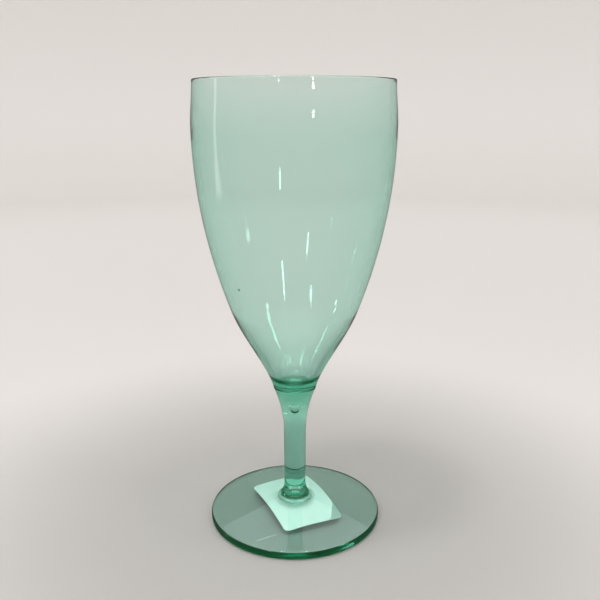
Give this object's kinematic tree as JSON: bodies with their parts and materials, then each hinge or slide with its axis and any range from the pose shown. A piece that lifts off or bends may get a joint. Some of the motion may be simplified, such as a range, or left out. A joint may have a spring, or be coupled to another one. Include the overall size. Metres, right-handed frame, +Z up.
{
  "type": "plastic wine glass",
  "caption": "Stemmed wine glass in clear green-tinted plastic: a tall tapered bowl bonded to a flared stem and a dished round foot, with a blank paper label under the foot.",
  "frame": {"origin": "middle of the ring that the foot stands on, at the height of the table", "axes": "+Z up the stem's axis towards the rim; -Y towards the viewer of the picture, +X to that viewer's right"},
  "size_m": [0.077, 0.077, 0.178],
  "materials": {
    "bowl_plastic": "clear green-tinted moulded plastic, polished",
    "stem_plastic": "clear green-tinted moulded plastic, polished",
    "foot_plastic": "clear green-tinted moulded plastic, polished",
    "label_paper": "matt white self-adhesive label, blank"
  },
  "bodies": {
    "root": {"bowl": "bowl_plastic", "stem": "stem_plastic", "foot": "foot_plastic", "label": "label_paper"}
  },
  "joints": []
}
